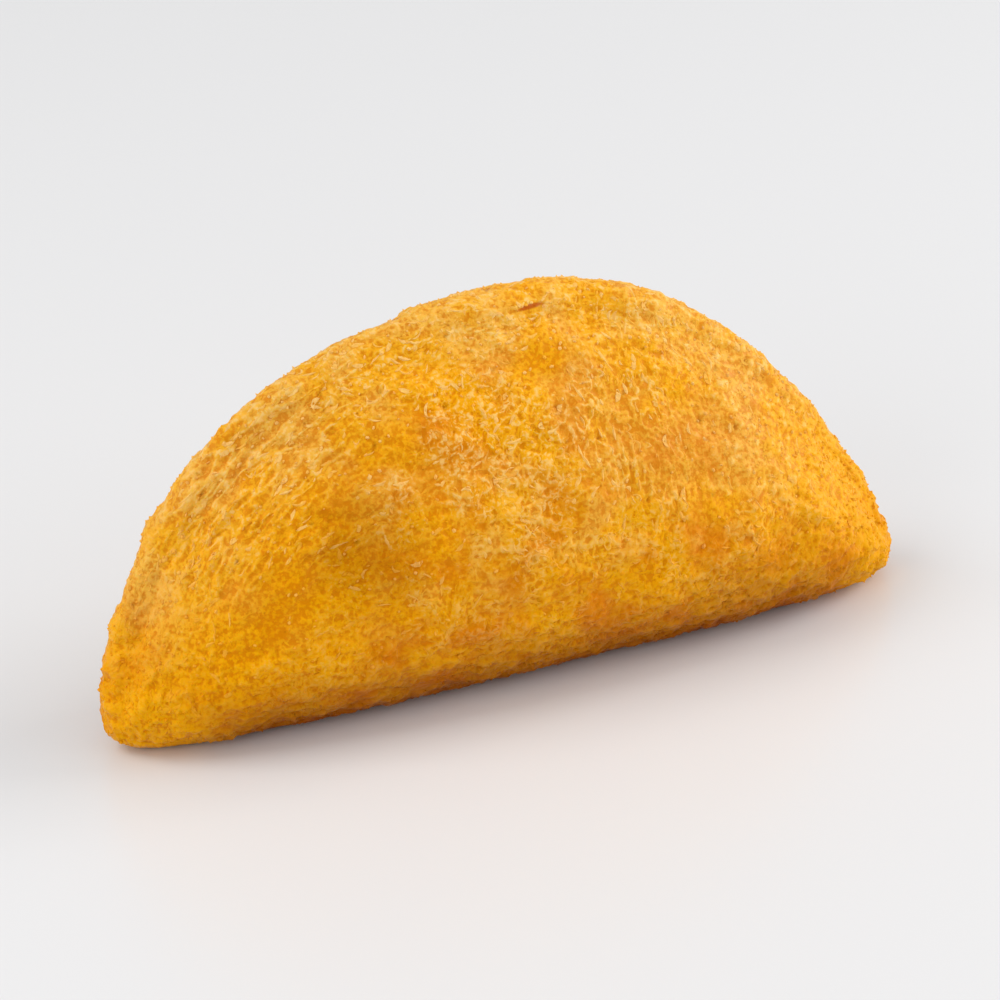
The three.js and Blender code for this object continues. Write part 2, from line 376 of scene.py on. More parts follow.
def arc_order(tree, place, edge):
    """How strictly the crust's ridges run round the arc: most on the upper left, some all along the edge."""
    return joined(
        tree, "MAXIMUM", joined(tree, "MULTIPLY", near(tree, place, ARC_STREAKS), 0.9),
        joined(tree, "MULTIPLY", edge, 0.5))


def fewer_on_shoulder(tree, place):
    """A share that is 1, but less on the right shoulder, where the crust is grainy rather than ridged."""
    return joined(tree, "SUBTRACT", 1.0, joined(tree, "MULTIPLY", near(tree, place, PALE_SHOULDER), 0.65))


def grit(tree, place, size):
    """Rounded grains of corn, side by side, each with a height of its own, from 0 to 1."""
    scale = joined(tree, "DIVIDE", 1.0, size)
    strewn = warped(tree, place, 3 * MM, 0.8 * MM)
    cells = add(
        tree, "ShaderNodeTexVoronoi", {"Vector": strewn, "Scale": scale, "Smoothness": 0.35},
        feature="SMOOTH_F1")
    share = add(tree, "ShaderNodeSeparateXYZ", {0: cells.node.outputs["Color"]})
    uneven = add(tree, "ShaderNodeMapRange", {"Value": share, "To Min": 0.15, "To Max": 1.0})
    return joined(tree, "MULTIPLY", stepped(tree, cells, 0.7, 0.05), uneven)


def crackle(tree, place):
    """The crust's tangled ridges, from 0 to 1: upright in the fibre patch, round the arc near its edge."""
    loose = warped(tree, place, 3.4 * MM, 1.5 * MM)
    tangled = ridges(tree, loose, (1.2, 1.2, 0.9), 2.0 * MM, 0.115)
    crossing = ridges(tree, loose, (0.8, 0.8, 1.6), 1.6 * MM, 0.1)
    upright = ridges(tree, loose, (0.85, 0.85, 2.8), 1.65 * MM, 0.115)
    less_loose = add(tree, "ShaderNodeMix", {0: 0.47, 4: place, 5: loose}, 1, data_type="VECTOR")
    edge_place, reach = edge_coordinates(tree, less_loose)
    round_arc = ridges(tree, edge_place, (0.75, 1.5, 3.4), 1.6 * MM, 0.115)
    mesh_of_ridges = joined(tree, "MAXIMUM", tangled, joined(tree, "MULTIPLY", crossing, 0.8))
    mesh_of_ridges = add(
        tree, "ShaderNodeMix", {0: near(tree, place, FIBRES), 2: mesh_of_ridges, 3: upright},
        data_type="FLOAT")
    ordered = arc_order(tree, place, edge_share(tree, reach))
    lines = add(tree, "ShaderNodeMix", {0: ordered, 2: mesh_of_ridges, 3: round_arc}, data_type="FLOAT")
    lines = joined(tree, "MULTIPLY", lines, fewer_on_shoulder(tree, place))
    return joined(tree, "MAXIMUM", lines, ring_blister(tree, place))


def arc_streaks(tree, place):
    """Broad soft ridges round the arc on the upper left, from 0 to 1, 2 mm apart and up to 10 mm long."""
    edge_place, _ = edge_coordinates(tree, warped(tree, place, 6 * MM, 1.5 * MM))
    lines = ridges(tree, edge_place, (1.0, 1.5, 3.6), 2.8 * MM, 0.075)
    return joined(tree, "MULTIPLY", lines, near(tree, place, ARC_STREAKS))


def crags(tree, place):
    """Flaky crags above the fold, from 0 to 1: wrinkles 2 to 4 mm apart that run mostly along it."""
    low = add(tree, "ShaderNodeSeparateXYZ", {0: place}).node.outputs[2]
    lines = ridges(tree, warped(tree, place, 4 * MM, 3 * MM), (1.7, 1.2, 0.9), 2.4 * MM, 0.085)
    return joined(tree, "MULTIPLY", lines, stepped(tree, low, 27 * MM, 12 * MM))


def roughness_of_form(tree, place, edge):
    """How rough the crust is, from about 0.3 on the oily pads to 1 at the edge and on the grainy middle."""
    rough = patchy(tree, place, 8 * MM, 0.5, 1.0, 0.3)
    smoother = [joined(tree, "MULTIPLY", near(tree, place, pad), 0.35) for pad in (SMOOTH_PAD, LOWER_PAD)]
    rough = joined(tree, "SUBTRACT", rough, *smoother)
    rough = joined(tree, "MAXIMUM", rough, edge, near(tree, place, GRAINY_MIDDLE))
    smooth = joined(tree, "MULTIPLY", on_front(tree, place, TOP_BLOB), 0.7)
    return joined(tree, "MULTIPLY", rough, joined(tree, "SUBTRACT", 1.0, smooth))


# Geometry Nodes


def new_tree(name, sizes):
    """A Geometry Nodes tree with a mesh input, one named length input for each size, and a mesh output."""
    tree = bpy.data.node_groups.new(name, "GeometryNodeTree")
    tree.interface.new_socket("Geometry", in_out="INPUT", socket_type="NodeSocketGeometry")
    tree.interface.new_socket("Geometry", in_out="OUTPUT", socket_type="NodeSocketGeometry")
    for size in sizes:
        socket = tree.interface.new_socket(size, in_out="INPUT", socket_type="NodeSocketFloat")
        socket.subtype = "DISTANCE"
    return tree, tree.nodes.new("NodeGroupInput").outputs, tree.nodes.new("NodeGroupOutput").inputs


def add_geometry_nodes(piece, tree, values):
    """Puts the tree on the piece as a modifier and sets its inputs by their sockets' identifiers."""
    modifier = piece.modifiers.new(tree.name, "NODES")
    modifier.node_group = tree
    for item in tree.interface.items_tree:
        if item.in_out == "INPUT" and item.name in values:
            modifier[item.identifier] = values[item.name]


def link(name, mesh):
    """A new object that holds the mesh, in the scene."""
    piece = bpy.data.objects.new(name, mesh)
    bpy.context.scene.collection.objects.link(piece)
    return piece


def finished_piece(name, source):
    """Swaps the source object and its modifiers for a plain mesh piece that rides on the body."""
    graph = bpy.context.evaluated_depsgraph_get()
    graph.update()
    mesh = bpy.data.meshes.new_from_object(
        source.evaluated_get(graph), preserve_all_data_layers=True, depsgraph=graph)
    mesh.name = name
    bpy.data.objects.remove(source)
    if len(mesh.polygons) == 0:
        raise RuntimeError(f"{name} came out empty")
    piece = link(name, mesh)
    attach(piece, BODY)
    return piece


def kept(tree, mesh, values, domain="POINT"):
    """The mesh with numbers kept on it, each under its name."""
    for name, value in values.items():
        mesh = add(
            tree, "GeometryNodeStoreNamedAttribute", {"Geometry": mesh, "Name": name, "Value": value},
            data_type="FLOAT", domain=domain)
    return mesh


def lumps(tree, place, size, height):
    """Soft lumps a few millimetres wide, half of them hollows."""
    scale = joined(tree, "DIVIDE", 1.0, size)
    noise = add(
        tree, "ShaderNodeTexNoise", {"Vector": place, "Scale": scale, "Detail": 2.0, "Roughness": 0.5})
    centred = joined(tree, "SUBTRACT", noise, 0.5)
    return joined(tree, "MULTIPLY", centred, 2.0, height)


def crust_tree():
    """The tree that raises the crust's fine relief on the remeshed solid."""
    tree, sizes, result = new_tree("Fried crust", [
        "Lump size", "Lump height", "Grit size", "Grit height", "Ridge height",
        "Blister spacing", "Blister height", "Pit spacing", "Pit depth"])
    place = add(tree, "GeometryNodeInputPosition")
    _, reach = edge_coordinates(tree, place)
    edge = edge_share(tree, reach)
    rough = roughness_of_form(tree, place, edge)

    grains = grit(tree, place, sizes["Grit size"])
    shoulder = near(tree, place, PALE_SHOULDER)
    grainier = joined(tree, "ADD", joined(tree, "MULTIPLY", shoulder, 0.7), 1.0)
    grain_rise = joined(tree, "MULTIPLY", grains, grainier, sizes["Grit height"])
    ridge_rise = joined(tree, "MULTIPLY", crackle(tree, place), sizes["Ridge height"])
    rise = joined(tree, "MULTIPLY", joined(tree, "ADD", grain_rise, ridge_rise), rough)
    streaks = arc_streaks(tree, place)
    wrinkles = crags(tree, place)
    folds = joined(tree, "MAXIMUM", streaks, wrinkles)
    fold_rise = joined(tree, "MULTIPLY", folds, sizes["Ridge height"], FOLD_SHARE)

    dome, away = spots(tree, place, sizes["Blister spacing"], 0.4, 0.3, 0.02)
    dished = joined(tree, "MULTIPLY", dome, stepped(tree, away, 0.0, 0.5, 0.4, 1.0))
    blister_rise = joined(tree, "MULTIPLY", dished, sizes["Blister height"])
    pit, _ = spots(tree, place, sizes["Pit spacing"], 0.4, 0.27, 0.05)
    pit_fall = joined(tree, "MULTIPLY", pit, sizes["Pit depth"])
    rise = joined(tree, "SUBTRACT", joined(tree, "ADD", rise, fold_rise, blister_rise), pit_fall)
    rise = joined(tree, "ADD", rise, lumps(tree, place, sizes["Lump size"], sizes["Lump height"]))

    height = add(tree, "ShaderNodeSeparateXYZ", {0: place}).node.outputs[2]
    rise = joined(tree, "MULTIPLY", rise, stepped(tree, height, 0.1 * MM, 2.5 * MM))
    offset = add(
        tree, "ShaderNodeVectorMath", {0: add(tree, "GeometryNodeInputNormal"), "Scale": rise},
        operation="SCALE")
    moved = add(tree, "ShaderNodeVectorMath", {0: place, 1: offset}, operation="ADD")
    above_floor = add(tree, "ShaderNodeVectorMath", {0: moved, 1: (-1.0, -1.0, 0.0)}, operation="MAXIMUM")

    mesh = add(
        tree, "GeometryNodeStoreNamedAttribute",
        {"Geometry": sizes["Geometry"], "Name": "grown_from", "Value": place}, data_type="FLOAT_VECTOR")
    mesh = kept(tree, mesh, {
        "edge": edge, "rough": rough, "pit": pit, "streaks": streaks, "wrinkles": wrinkles,
        "grains": joined(tree, "MULTIPLY", grains, shoulder)})
    mesh = add(tree, "GeometryNodeSetPosition", {"Geometry": mesh, "Position": above_floor})
    smooth = add(tree, "GeometryNodeSetShadeSmooth", {"Geometry": mesh})
    tree.links.new(smooth, result["Geometry"])
    return tree


def crooked(tree, place, seed, scale, amount):
    """The place, bent by a noise that differs with the seed."""
    noise = add(
        tree, "ShaderNodeTexNoise", {"Vector": place, "W": seed, "Scale": scale}, 1, noise_dimensions="4D")
    return pushed(tree, place, noise, amount)


def shaped(tree, mesh, place, size):
    """The mesh as an instance, its points moved to a place and sized, and their heights kept as rise."""
    sized = add(tree, "ShaderNodeVectorMath", {0: place, "Scale": size}, operation="SCALE")
    risen = kept(tree, mesh, {"rise": add(tree, "ShaderNodeSeparateXYZ", {0: sized}).node.outputs[2]})
    bent = add(tree, "GeometryNodeSetPosition", {"Geometry": risen, "Position": sized})
    return add(tree, "GeometryNodeGeometryToInstance", {0: bent})


def laid_on(tree, crust, crisps, sink):
    """The crisps, draped so that each point lies as far above the crust as it lay above its own base."""
    place = add(tree, "GeometryNodeInputPosition")
    foot = add(
        tree, "GeometryNodeSampleNearestSurface", {"Mesh": crust, "Value": place}, data_type="FLOAT_VECTOR")
    normal = add(
        tree, "GeometryNodeSampleNearestSurface",
        {"Mesh": crust, "Value": add(tree, "GeometryNodeInputNormal")}, data_type="FLOAT_VECTOR")
    rise = add(tree, "GeometryNodeInputNamedAttribute", {"Name": "rise"}, data_type="FLOAT")
    tone = add(tree, "GeometryNodeInputNamedAttribute", {"Name": "tone"}, data_type="FLOAT")
    stronger = joined(tree, "ADD", tone, 0.5)
    lifted = add(tree, "ShaderNodeMath", {0: rise, 1: stronger, 2: -sink}, operation="MULTIPLY_ADD")
    offset = add(tree, "ShaderNodeVectorMath", {0: normal, "Scale": lifted}, operation="SCALE")
    target = add(tree, "ShaderNodeVectorMath", {0: foot, 1: offset}, operation="ADD")
    return add(tree, "GeometryNodeSetPosition", {"Geometry": crisps, "Position": target})


def wisp_variant(tree, length, bow, seed):
    """One thin ridge of dough along X, of 18 faces, with tapered ends."""
    tube = add(tree, "GeometryNodeMeshCylinder", {
        "Vertices": 4, "Side Segments": 4, "Radius": 0.5, "Depth": 1.0})
    parts = add(tree, "ShaderNodeSeparateXYZ", {0: add(tree, "GeometryNodeInputPosition")}).node.outputs
    squared = joined(tree, "MULTIPLY", parts[2], parts[2])
    taper = add(tree, "ShaderNodeMath", {0: squared, 1: -3.2, 2: 1.0}, operation="MULTIPLY_ADD")
    width = joined(tree, "MULTIPLY", parts[0], 0.36, taper)
    depth = joined(tree, "MULTIPLY", parts[1], 0.1, taper)
    side = add(tree, "ShaderNodeMath", {0: squared, 1: bow, 2: width}, operation="MULTIPLY_ADD")
    flat = add(tree, "ShaderNodeCombineXYZ", {0: parts[2], 1: side, 2: 0.0})
    bent = add(tree, "ShaderNodeSeparateXYZ", {0: crooked(tree, flat, seed, 2.6, 0.42)}).node.outputs
    place = add(tree, "ShaderNodeCombineXYZ", {0: bent[0], 1: bent[1], 2: depth})
    return shaped(tree, tube, place, length)


def flake_variant(tree, length, curl, bow, seed):
    """One thin curled flake of dough along X, of 34 faces, that lifts at its ends."""
    slab = add(tree, "GeometryNodeMeshCube", {
        "Size": (1.0, 0.36, 0.09), "Vertices X": 6, "Vertices Y": 3, "Vertices Z": 2})
    parts = add(tree, "ShaderNodeSeparateXYZ", {0: add(tree, "GeometryNodeInputPosition")}).node.outputs
    squared = joined(tree, "MULTIPLY", parts[0], parts[0])
    taper = add(tree, "ShaderNodeMath", {0: squared, 1: -2.4, 2: 1.0}, operation="MULTIPLY_ADD")
    side = add(
        tree, "ShaderNodeMath", {0: squared, 1: bow, 2: joined(tree, "MULTIPLY", parts[1], taper)},
        operation="MULTIPLY_ADD")
    up = add(
        tree, "ShaderNodeMath", {0: squared, 1: curl, 2: joined(tree, "MULTIPLY", parts[2], taper)},
        operation="MULTIPLY_ADD")
    place = add(tree, "ShaderNodeCombineXYZ", {0: parts[0], 1: side, 2: up})
    return shaped(tree, slab, crooked(tree, place, seed, 3.5, 0.26), length)


def grain_variant(tree, width, squash, seed):
    """One crooked grain of fried grit, of 20 faces, meant to lie half sunk in the crust."""
    ball = add(tree, "GeometryNodeMeshIcoSphere", {"Radius": 0.5, "Subdivisions": 1})
    bent = crooked(tree, add(tree, "GeometryNodeInputPosition"), seed, 2.2, 0.4)
    flat = add(tree, "ShaderNodeVectorMath", {0: bent, 1: (1.0, 0.8, squash)}, operation="MULTIPLY")
    return shaped(tree, ball, flat, width)


def scatter(tree, crust, variants, spacing, mask, seed, sizes, sink, result, material):
    """Scatters the variants where the mask is high, lined up with the crust's own grain."""
    place = add(tree, "GeometryNodeInputPosition")
    parts = add(tree, "ShaderNodeSeparateXYZ", {0: place}).node.outputs
    clear_of_foot = joined(tree, "GREATER_THAN", parts[2], FOOT_CLEARANCE)
    density = joined(tree, "DIVIDE", 1.0, joined(tree, "MULTIPLY", spacing, spacing))
    points = add(tree, "GeometryNodeDistributePointsOnFaces", {
        "Mesh": crust, "Distance Min": joined(tree, "MULTIPLY", spacing, CLOSEST_SHARE),
        "Density Max": density,
        "Density Factor": joined(tree, "MULTIPLY", mask, clear_of_foot), "Seed": seed},
        distribute_method="POISSON").node.outputs

    upright = near(tree, place, FIBRES)
    edge = add(tree, "GeometryNodeInputNamedAttribute", {"Name": "edge"}, data_type="FLOAT")
    round_arc = add(tree, "ShaderNodeCombineXYZ", {
        0: joined(tree, "MULTIPLY", parts[2], LENGTH / 2 / HEIGHT),
        2: joined(tree, "MULTIPLY", parts[0], -1.0)})
    way = add(
        tree, "ShaderNodeMix", {0: upright, 4: round_arc, 5: (0.0, 0.0, 1.0)}, 1, data_type="VECTOR")
    ordered = joined(tree, "MAXIMUM", upright, arc_order(tree, place, edge))
    lined_up = add(
        tree, "FunctionNodeAlignRotationToVector", {"Rotation": points["Rotation"], "Vector": way},
        axis="X", pivot_axis="Z")
    spread = add(tree, "ShaderNodeMapRange", {"Value": ordered, "To Min": math.pi / 2, "To Max": 0.45})
    draw = add(tree, "FunctionNodeRandomValue", {2: -1.0, 3: 1.0, "Seed": seed + 1}, 1, data_type="FLOAT")
    turn = joined(tree, "MULTIPLY", draw, spread)
    twist = add(tree, "ShaderNodeCombineXYZ", {2: turn})
    turned = add(
        tree, "FunctionNodeRotateRotation",
        {0: lined_up, 1: add(tree, "FunctionNodeEulerToRotation", {0: twist})}, rotation_space="LOCAL")

    choice = add(tree, "GeometryNodeJoinGeometry")
    for variant in reversed(variants):
        tree.links.new(variant, choice.node.inputs[0])
    which = add(
        tree, "FunctionNodeRandomValue", {4: 0, 5: len(variants) - 1, "Seed": seed + 4}, 2, data_type="INT")
    scale = add(
        tree, "FunctionNodeRandomValue", {0: sizes[0], 1: sizes[1], "Seed": seed + 5},
        data_type="FLOAT_VECTOR")
    copies = add(tree, "GeometryNodeInstanceOnPoints", {
        "Points": points["Points"], "Instance": choice, "Pick Instance": True, "Instance Index": which,
        "Rotation": turned, "Scale": scale})
    tone = add(tree, "FunctionNodeRandomValue", {2: 0.0, 3: 1.0, "Seed": seed + 6}, 1, data_type="FLOAT")
    real = add(tree, "GeometryNodeRealizeInstances", {0: kept(tree, copies, {"tone": tone}, "INSTANCE")})
    laid = laid_on(tree, crust, real, sink)
    flat = add(tree, "GeometryNodeSetShadeSmooth", {"Geometry": laid, "Shade Smooth": False})
    painted = add(tree, "GeometryNodeSetMaterial", {"Geometry": flat, "Material": material})
    tree.links.new(painted, result["Geometry"])


def wisps_tree(seed, material):
    """The tree that scatters thin ridges of dough, fewest on the smooth pads and the grainy shoulder."""
    tree, sizes, result = new_tree("Dough wisps", ["Wisp length", "Wisp spacing"])
    bows = (0.5, -0.8, 1.1, -0.3, 0.0, 1.6)
    variants = [wisp_variant(tree, sizes["Wisp length"], bow, number) for number, bow in enumerate(bows)]
    rough = add(tree, "GeometryNodeInputNamedAttribute", {"Name": "rough"}, data_type="FLOAT")
    mask = add(
        tree, "ShaderNodeMapRange", {"Value": rough, "From Min": 0.35, "To Min": 0.05, "To Max": 1.0})
    mask = joined(tree, "MULTIPLY", mask, fewer_on_shoulder(tree, add(tree, "GeometryNodeInputPosition")))
    scatter(
        tree, sizes["Geometry"], variants, sizes["Wisp spacing"], mask, seed,
        WISP_SCALES, WISP_SINK, result, material)
    return tree


def flakes_tree(seed, material):
    """The tree that scatters curled flakes, most of them where the crust is roughest."""
    tree, sizes, result = new_tree("Curled flakes", ["Flake length", "Flake spacing"])
    curls = ((0.1, 0.3), (0.3, -0.5), (-0.1, 0.7), (0.15, 0.1), (0.05, -0.2))
    variants = [
        flake_variant(tree, sizes["Flake length"], curl, bow, number)
        for number, (curl, bow) in enumerate(curls)]
    rough = add(tree, "GeometryNodeInputNamedAttribute", {"Name": "rough"}, data_type="FLOAT")
    scatter(
        tree, sizes["Geometry"], variants, sizes["Flake spacing"], rough, seed + 20,
        FLAKE_SCALES, FLAKE_SINK, result, material)
    return tree


def grains_tree(seed, material):
    """The tree that scatters small grains, most of them near the pressed edge and on the right shoulder."""
    tree, sizes, result = new_tree("Fried grains", ["Grain size", "Grain spacing"])
    variants = [
        grain_variant(tree, sizes["Grain size"], squash, number)
        for number, squash in enumerate((0.55, 0.7, 0.85, 0.6))]
    edge = add(tree, "GeometryNodeInputNamedAttribute", {"Name": "edge"}, data_type="FLOAT")
    mask = add(tree, "ShaderNodeMapRange", {"Value": edge, "To Min": 0.3, "To Max": 1.0})
    mask = joined(tree, "MAXIMUM", mask, near(tree, add(tree, "GeometryNodeInputPosition"), PALE_SHOULDER))
    scatter(
        tree, sizes["Geometry"], variants, sizes["Grain spacing"], mask, seed + 40,
        GRAIN_SCALES, GRAIN_SINK, result, material)
    return tree


# Materials


def layered(tree, base, *layers):
    """A colour with others laid over it in turn, each given as its share, from 0 to 1, and its sRGB hex."""
    for share, colour in layers:
        base = add(tree, "ShaderNodeMix", {0: share, 6: base, 7: linear(colour)}, 2, data_type="RGBA")
    return base


def dough_patches(tree, place, colours):
    """The crust's broad colours: gold, with well fried orange patches, dry tan ones and yellow oily pads."""
    _, reach = edge_coordinates(tree, place)
    low = add(tree, "ShaderNodeSeparateXYZ", {0: place}).node.outputs[2]
    streaks = add(tree, "ShaderNodeAttribute", output="Fac", attribute_name="streaks")
    dry = joined(
        tree, "MAXIMUM",
        joined(
            tree, "MULTIPLY", near(tree, place, GRAINY_MIDDLE), patchy(tree, place, 5 * MM, 0.0, 0.3, 6.1)),
        patchy(tree, place, 4.5 * MM, -0.4, 0.6, 8.4),
        joined(tree, "MULTIPLY", near(tree, place, FIBRES), 0.45),
        joined(tree, "MULTIPLY", edge_share(tree, reach), 0.85),
        joined(tree, "MULTIPLY", near(tree, place, PALE_SHOULDER), 0.8),
        joined(tree, "MULTIPLY", streaks, 0.6))
    dry = joined(tree, "MULTIPLY", dry, stepped(tree, low, 10 * MM, 26 * MM))
    dry = joined(tree, "MAXIMUM", dry, stepped(tree, low, 22 * MM, 52 * MM, 0.0, 0.6))
    yellow = joined(
        tree, "MAXIMUM", patchy(tree, place, 8 * MM, 0.0, 0.9, 3.3),
        *(near(tree, place, pad) for pad in (SMOOTH_PAD, LOWER_PAD, RIGHT_PAD, LEFT_TIP, RIGHT_TIP)),
        on_front(tree, place, TOP_BLOB))
    return layered(
        tree, linear(colours.gold),
        (patchy(tree, place, 6 * MM, 0.0, 1.0, 2.1), colours.orange),
        (dry, colours.tan),
        (joined(tree, "MULTIPLY", near(tree, place, UPPER_ORANGE), 0.85), colours.orange),
        (joined(tree, "MULTIPLY", yellow, 0.85), colours.yellow))


def browned_and_shaded(tree, place, base, colours):
    """The colour, browner towards the fold but not at the tips, partly from browning and partly as painted
    shade on the underside, and a reddish line of painted shadow under the lifted flake.
    """
    parts = add(tree, "ShaderNodeSeparateXYZ", {0: place}).node.outputs
    share = joined(
        # Darker towards the fold: partly browning, partly painted shade on the underside
        tree, "MAXIMUM", stepped(tree, parts[2], 14.5 * MM, -1 * MM, 0.0, 0.95),
        joined(tree, "MULTIPLY", near(tree, place, FOLD_WRINKLES), 0.35),
        joined(tree, "MULTIPLY", near(tree, place, BROWNED_MIDDLE), 0.35))
    out = add(tree, "ShaderNodeMath", {0: parts[0]}, operation="ABSOLUTE")
    share = joined(tree, "MULTIPLY", share, stepped(tree, out, 38 * MM, 54 * MM, 1.0, 0.05))
    # A thin reddish line of painted shadow under the lifted flake
    flake = joined(tree, "MULTIPLY", on_front(tree, place, LIFTED_FLAKE), 0.85)
    return layered(tree, base, (share, colours.brown), (flake, colours.painted_flake_shadow))


def pale_and_highlight_share(tree, place):
    """How strongly the pale tone, partly painted highlight, shows: rising towards the top, least near the
    fold and at the tips.
    """
    parts = add(tree, "ShaderNodeSeparateXYZ", {0: place}).node.outputs
    out = add(tree, "ShaderNodeMath", {0: parts[0]}, operation="ABSOLUTE")
    inner = stepped(tree, out, 40 * MM, 57 * MM, 1.0, 0.35)
    return joined(tree, "MULTIPLY", stepped(tree, parts[2], 2 * MM, 46 * MM, 0.15, 1.3), inner)


def fine_grain(tree, place):
    """Grain too fine for the mesh, 0.4 to 0.8 mm wide, from 0 to 1."""
    noise = add(
        tree, "ShaderNodeTexNoise",
        {"Vector": place, "Scale": 1 / (0.62 * MM), "Detail": 2.0, "Roughness": 0.55})
    return stepped(tree, noise, 0.33, 0.67)


def crust_colour(tree, place, height, colours):
    """Broad patches, a deep colour between the ridges that is partly painted shade, a pale tone on them that
    is partly painted highlight, and brown in the pits and pinholes.
    """
    # A pale tone on the crests, partly painted highlight, stronger towards the top
    pale = joined(tree, "MULTIPLY", stepped(tree, height, 0.55, 1.05, 0.0, 0.65), pale_and_highlight_share(tree, place))
    pit = add(tree, "ShaderNodeAttribute", output="Fac", attribute_name="pit")
    pinhole, _ = spots(tree, place, 2.2 * MM, 0.35, 0.13, 0.07)
    base = layered(
        tree, dough_patches(tree, place, colours),
        # Darker in the gaps between the ridges: partly painted shade
        (stepped(tree, height, 0.6, 0.1, 0.0, 0.7), colours.deep),
        (pale, colours.pale),
        (joined(tree, "MULTIPLY", pit, 0.4), colours.brown))
    base = browned_and_shaded(tree, place, base, colours)
    return layered(tree, base, (joined(tree, "MULTIPLY", pinhole, 0.45), colours.brown))


def new_material(name):
    """An empty material and its node tree."""
    material = bpy.data.materials.new(name)
    material.use_nodes = True
    material.node_tree.nodes.clear()
    return material, material.node_tree


def oily_dough(tree, colour, roughness, height, rise, shine, glow):
    """The fried dough's shader: a satin shine from the oil, and the share of light that passes through."""
    bump = add(tree, "ShaderNodeBump", {"Strength": 1.0, "Distance": rise, "Height": height})
    shader = add(tree, "ShaderNodeBsdfPrincipled", {
        "Base Color": colour, "Roughness": roughness, "Normal": bump,
        "IOR": OIL_IOR, "Specular IOR Level": shine, "Specular Tint": linear(OIL_TINT),
        "Subsurface Weight": glow, "Subsurface Radius": GLOW_REACH, "Subsurface Scale": GLOW_DEPTH})
    add(tree, "ShaderNodeOutputMaterial", {"Surface": shader})


def crust_material(colours):
    """Corn dough fried in oil: golden with orange patches, pale ridges partly painted as highlight, deep gaps
    partly painted as shade, brown pits and a satin shine.
    """
    material, tree = new_material("corn_dough_fried_in_oil")
    place = add(tree, "ShaderNodeAttribute", output="Vector", attribute_name="grown_from")
    rough, wrinkles, grains = (
        add(tree, "ShaderNodeAttribute", output="Fac", attribute_name=name)
        for name in ("rough", "wrinkles", "grains"))
    height = joined(
        tree, "ADD",
        joined(tree, "MULTIPLY", crackle(tree, place), rough, 0.62),
        joined(tree, "MULTIPLY", fine_grain(tree, place), 0.42),
        joined(tree, "MULTIPLY", wrinkles, 0.25),
        joined(tree, "MULTIPLY", grains, 0.9))
    satin = patchy(tree, place, 2.4 * MM, 0.32, 0.52, 5.5)
    oily_dough(tree, crust_colour(tree, place, height, colours), satin, height, 0.1 * MM, 0.22, 0.2)
    return material


def crisp_material(colours):
    """Thin crisps of the same dough, fried drier: pale to golden, each in its own tone, the pale partly
    painted highlight that grows towards the top.
    """
    material, tree = new_material("dough_crisps_fried_dry")
    place = add(tree, "ShaderNodeTexCoord", output="Object")
    tone = add(tree, "ShaderNodeAttribute", output="Fac", attribute_name="tone")
    grain = fine_grain(tree, place)
    # Pale crisps, partly painted highlight, stronger towards the top
    pale = joined(tree, "MULTIPLY", stepped(tree, tone, 0.35, 1.0, 0.0, 0.7), pale_and_highlight_share(tree, place))
    base = layered(
        tree, dough_patches(tree, place, colours),
        (stepped(tree, tone, 0.4, 0.0, 0.0, 0.3), colours.deep),
        (pale, colours.pale),
        (joined(tree, "MULTIPLY", grain, 0.3), colours.orange))
    base = browned_and_shaded(tree, place, base, colours)
    satin = patchy(tree, place, 2.0 * MM, 0.36, 0.54, 7.7)
    oily_dough(tree, base, satin, grain, 0.05 * MM, 0.1, 0.0)
    return material


def floor_material(colour):
    """Pale glazed stoneware: plain, with a faint soft reflection."""
    material, tree = new_material("pale_glazed_stoneware")
    shader = add(tree, "ShaderNodeBsdfPrincipled", {
        "Base Color": (*colour, 1.0), "Roughness": 0.28, "IOR": 1.45})
    add(tree, "ShaderNodeOutputMaterial", {"Surface": shader})
    return material


# Operators


class EMPANADA_OT_camera(bpy.types.Operator):
    """Makes the camera at the photograph's angle, close enough to fill the picture"""

    bl_idname = "empanada.camera"
    bl_label = "Camera"

    def execute(self, context):
        settings = context.scene.empanada_stage
        data = bpy.data.cameras.new("camera")
        camera = bpy.data.objects.new("camera", data)
        context.scene.collection.objects.link(camera)
        azimuth, elevation = settings.azimuth, settings.elevation
        back = Vector((
            math.sin(azimuth) * math.cos(elevation),
            -math.cos(azimuth) * math.cos(elevation),
            math.sin(elevation)))
        aim = Vector((0.0, 0.0, HEIGHT * AIM_SHARE))
        turn = back.to_track_quat("Z", "Y").to_matrix().to_4x4()
        place = Matrix.Translation(aim + back * settings.distance)
        camera.matrix_world = place @ turn @ Matrix.Rotation(settings.roll, 4, "Z")
        shown_width = LENGTH * math.cos(azimuth)
        data.lens = data.sensor_width * settings.frame_share * settings.distance / shown_width
        data.clip_start = 0.01
        context.scene.camera = camera
        return {"FINISHED"}


